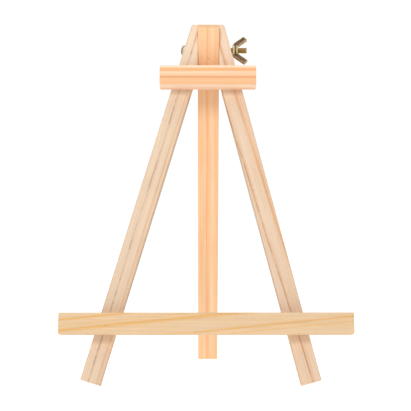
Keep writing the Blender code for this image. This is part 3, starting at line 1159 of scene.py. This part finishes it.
def wing():
    """One wing in the XZ plane: a thick bar with raised rims and sunk panels on both sides."""
    levels = [
        (inset, WING_THICKNESS / 2 - depth) for inset, depth in reversed(WING_SECTION)
    ]
    levels += [(inset, depth - WING_THICKNESS / 2) for inset, depth in WING_SECTION]
    shape = bmesh.new()
    rings = []
    for inset, level in levels:
        outline = rounded_outline(WING_CORNERS, inset)
        rings.append([shape.verts.new((point.x, level, point.y)) for point in outline])
    for upper, lower in zip(rings, rings[1:]):
        for step in range(len(upper)):
            ahead = (step + 1) % len(upper)
            shape.faces.new((upper[step], upper[ahead], lower[ahead], lower[step]))
    floors = [shape.faces.new(rings[0]), shape.faces.new(reversed(rings[-1]))]
    bmesh.ops.recalc_face_normals(shape, faces=shape.faces[:])
    rim_depth = WING_SECTION[-2][1] / 2
    for face in shape.faces:
        sunk = WING_THICKNESS / 2 - abs(face.calc_center_median().y) > rim_depth
        level_face = abs(face.normal.y) > 0.5
        # Sunk faces take the dark coat, partly the film's own tone and partly painted shade and reflection.
        face.material_index = 1 if face in floors or (sunk and level_face) else 0
    return shape


def wing_direction():
    """Which way the upper wing points from the bolt's axis."""
    spokes = []
    for vert in NODES["wing_nut"].data.vertices:
        spoke = vert.co - NUT_PLACE
        spoke.x = 0
        spokes.append(spoke)
    reach = max(spoke.length for spoke in spokes)
    tips = [spoke for spoke in spokes if spoke.length > WING_TIP * reach and spoke.z > 0]
    return sum(tips, Vector()).normalized()


def winged_nut():
    """The wing nut: a waisted hub round the bolt, joined to two wings."""
    materials = [RIM_ZINC, PANEL_SHADE_ZINC, HUB_HIGHLIGHT_ZINC]
    hub = wound(HUB_PROFILE, closed=True)
    for face in hub.faces:
        middle = face.calc_center_median()
        reach = math.hypot(middle.x, middle.y)
        # Painted shade and reflection: the hub's waist takes the dark panel coat, the rest the painted highlight
        # coat.
        waist = HUB_WAIST[0] < middle.z < HUB_WAIST[1] and reach > NUT_BORE + BORE_WALL
        face.material_index = 1 if waist else 2
    second = wing()
    bmesh.ops.rotate(second, matrix=Matrix.Rotation(math.pi, 3, "Z"), verts=second.verts)
    shape = combined(hub, [wing(), second], "UNION", materials)
    shape.transform(axle_frame(NUT_PLACE, RIGHTWARD, wing_direction()))
    new_piece("winged_nut", shape, "wing_nut", materials, "wing_nut")


def driven_screw(node):
    """A countersunk wood screw with a cross recess, its thread kept inside its hole."""
    reaches = [vert.co.dot(FORWARD) for vert in NODES[node].data.vertices]
    length = max(reaches) - min(reaches)
    middle = box_middle(node)
    top = middle + FORWARD * (min(reaches) - middle.dot(FORWARD))
    cone = SCREW_HEAD_LIP + SCREW_HEAD_RADIUS - SCREW_CORE
    rows = [
        (SCREW_HEAD_RADIUS - SCREW_EDGE, 0),
        (SCREW_HEAD_RADIUS, SCREW_EDGE),
        (SCREW_HEAD_RADIUS, SCREW_HEAD_LIP),
        (SCREW_CORE, cone),
        (SCREW_CORE, SCREW_NECK - THREAD_GAP),
    ]
    rows += thread_rows(
        SCREW_NECK, length - SCREW_POINT, SCREW_CORE, SCREW_RADIUS, SCREW_PITCH
    )
    rows.append((SCREW_EDGE, length))
    shape = wound(rows)
    blades = [
        block((DRIVE_LENGTH, DRIVE_WIDTH, 2 * DRIVE_DEPTH), (0, 0, 0)),
        block((DRIVE_WIDTH, DRIVE_LENGTH, 2 * DRIVE_DEPTH), (0, 0, 0)),
    ]
    shape = combined(shape, blades, "DIFFERENCE", [SCREW_ZINC])
    shape.transform(axle_frame(top, FORWARD, UPWARD))
    new_piece(f"{node}_threaded", shape, "front_frame", [SCREW_ZINC], node)


NUT_PLACE = Vector(JOINTS["wing_nut_turn"]["pos_m"])
threaded_bolt()
winged_nut()
for node in SCREWS:
    driven_screw(node)


# Studio --------------------------------------------------------------------------------------


def white_floor():
    """A large white sheet under the easel, lit enough to glow a little."""
    shape = bmesh.new()
    bmesh.ops.create_circle(shape, cap_ends=True, segments=FLOOR_SIDES, radius=FLOOR_RADIUS)
    mesh = bpy.data.meshes.new("floor")
    shape.to_mesh(mesh)
    shape.free()
    material = bpy.data.materials.new("white_floor")
    material.use_nodes = True
    tree = material.node_tree
    shader = tree.nodes["Principled BSDF"]
    spot = place(tree, "ShaderNodeTexCoord").outputs["Object"]
    mottle = ramp_up(tree, clouds(tree, spot, 3.0, 3.0), 0.2, 0.8, *FLOOR_TONES)
    tint = place(tree, "ShaderNodeCombineColor", {0: mottle, 1: mottle, 2: mottle})
    tree.links.new(tint.outputs[0], shader.inputs["Base Color"])
    shader.inputs["Roughness"].default_value = 0.9
    shader.inputs["Emission Color"].default_value = (1, 1, 1, 1)
    seen = place(tree, "ShaderNodeLightPath").outputs["Is Camera Ray"]
    glow = maths(tree, "MULTIPLY_ADD", seen, FLOOR_SEEN - FLOOR_GLOW, FLOOR_GLOW)
    tree.links.new(glow, shader.inputs["Emission Strength"])
    mesh.materials.append(material)
    floor = bpy.data.objects.new("floor", mesh)
    floor.location = (0, 0, CAD_BOX[0].z - FLOOR_DROP)
    bpy.context.scene.collection.objects.link(floor)


def softbox(name, place_at, aim, size, power):
    light = bpy.data.lights.new(name, "AREA")
    light.shape = "SQUARE"
    light.size = size
    light.energy = power
    lamp = bpy.data.objects.new(name, light)
    lamp.location = place_at
    direction = Vector(aim) - Vector(place_at)
    lamp.rotation_euler = direction.to_track_quat("-Z", "Y").to_euler()
    bpy.context.scene.collection.objects.link(lamp)


def white_surroundings():
    """White all round: full white behind the easel, softer where it only lights it."""
    world = bpy.data.worlds.new("studio")
    world.use_nodes = True
    tree = world.node_tree
    background = tree.nodes["Background"]
    background.inputs["Color"].default_value = (1, 1, 1, 1)
    seen = place(tree, "ShaderNodeLightPath").outputs["Is Camera Ray"]
    strength = maths(tree, "MULTIPLY_ADD", seen, ROOM_SEEN - ROOM_GLOW, ROOM_GLOW)
    tree.links.new(strength, background.inputs["Strength"])
    bpy.context.scene.world = world


def studio_camera():
    data = bpy.data.cameras.new("camera")
    data.lens = CAMERA_LENS
    data.sensor_width = CAMERA_SENSOR
    data.clip_start = CAMERA_NEAR
    camera = bpy.data.objects.new("camera", data)
    turn = Matrix.Rotation(CAMERA_HEADING, 4, "Z")
    tilt = Matrix.Rotation(math.pi / 2 + CAMERA_PITCH, 4, "X")
    camera.matrix_world = Matrix.Translation(CAMERA_PLACE) @ turn @ tilt
    bpy.context.scene.collection.objects.link(camera)
    bpy.context.scene.camera = camera


white_floor()
white_surroundings()
for name, place_at, aim, size, power in LIGHTS:
    softbox(name, place_at, aim, size, power)
studio_camera()
bpy.context.scene.view_settings.view_transform = "Standard"
bpy.context.scene.view_settings.look = "None"
